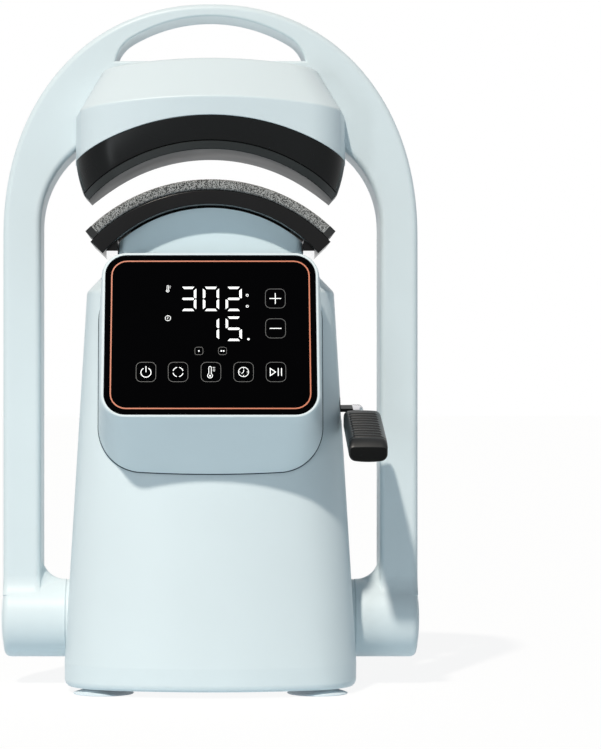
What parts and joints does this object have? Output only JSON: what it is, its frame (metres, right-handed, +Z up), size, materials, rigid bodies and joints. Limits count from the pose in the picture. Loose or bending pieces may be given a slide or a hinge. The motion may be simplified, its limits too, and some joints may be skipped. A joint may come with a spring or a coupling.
{
  "type": "cap heat press",
  "caption": "Bench heat press for caps: an arched frame with a curved heating head tilts over a padded lower platen that a side lever lifts, on a tower with a sloped touch panel.",
  "frame": {"origin": "on the floor, at the middle of the bounding box", "axes": "+Z up, front and touch panel towards -Y, lever on the +X side"},
  "size_m": [0.2722, 0.1766, 0.4422],
  "materials": {
    "blue_plastic": "gloss moulded",
    "black_plastic": "satin moulded",
    "panel_glass": "gloss black",
    "steel": "plain",
    "plated_steel": "polished",
    "cast_aluminium": "coated",
    "bearing_bronze": "plain",
    "rubber": "matt",
    "pad_foam": "speckled",
    "blanket": "matt",
    "board": "matt"
  },
  "bodies": {
    "base": {"tower_shell": "blue_plastic", "rear_cover": "blue_plastic", "rear_cover_screws": "steel", "base_plate": "steel", "suction_feet": "rubber", "foot_nuts": "steel", "console_pod": "blue_plastic", "glass_panel": "panel_glass", "display_board": "board", "power_board": "board", "mains_inlet": "black_plastic", "chassis_plates": "steel", "hinge_stubs": "steel", "spring_washers": "steel", "lock_nuts": "steel", "shaft_bushes": "bearing_bronze", "shaft_grommet": "rubber", "rod_bridges": "steel", "guide_rods": "plated_steel", "rod_collars": "steel", "return_springs": "steel"},
    "frame": {"frame_arch": "blue_plastic", "frame_spine": "steel", "frame_back_cover": "blue_plastic", "back_cover_screws": "steel", "hinge_bushes": "bearing_bronze", "friction_discs": "rubber", "boss_caps": "blue_plastic", "head_housing": "blue_plastic", "head_skirt": "black_plastic", "heat_platen": "cast_aluminium", "heating_bars": "steel", "insulation_blanket": "blanket", "thermostat": "black_plastic", "head_bolts": "steel"},
    "lift": {"neck_shell": "blue_plastic", "platen_arch": "black_plastic", "platen_gasket": "rubber", "platen_pad": "pad_foam", "pad_end_strips": "black_plastic", "platen_under_plate": "plated_steel", "lift_block": "steel", "slide_bushes": "bearing_bronze", "roller_pin": "plated_steel"},
    "roller": {"follower_roller": "plated_steel"},
    "lever": {"lever_shaft": "steel", "press_cam": "steel", "cam_screw": "steel", "lever_arm": "plated_steel", "lever_grip": "black_plastic", "retaining_rings": "steel"}
  },
  "joints": [
    {"name": "frame_tilt", "type": "hinge", "parent": "base", "child": "frame", "pos_m": [0, 0.03, 0.043], "axis": [-1, 0, 0], "range_deg": [0, 60]},
    {"name": "lever_turn", "type": "hinge", "parent": "base", "child": "lever", "pos_m": [0, -0.004, 0.17975], "axis": [-1, 0, 0], "range_deg": [0, 75]},
    {"name": "platen_lift", "type": "slide", "parent": "base", "child": "lift", "axis": [0, 0, 1], "range_m": [0, 0.0176], "deforming": ["return_springs"]},
    {"name": "roller_spin", "type": "hinge", "parent": "lift", "child": "roller", "pos_m": [0, -0.004, 0.202], "axis": [1, 0, 0], "continuous": true}
  ],
  "couplings": [
    {"joint": "lever_turn", "follows": "platen_lift", "rad_per_m": 74.37}
  ]
}
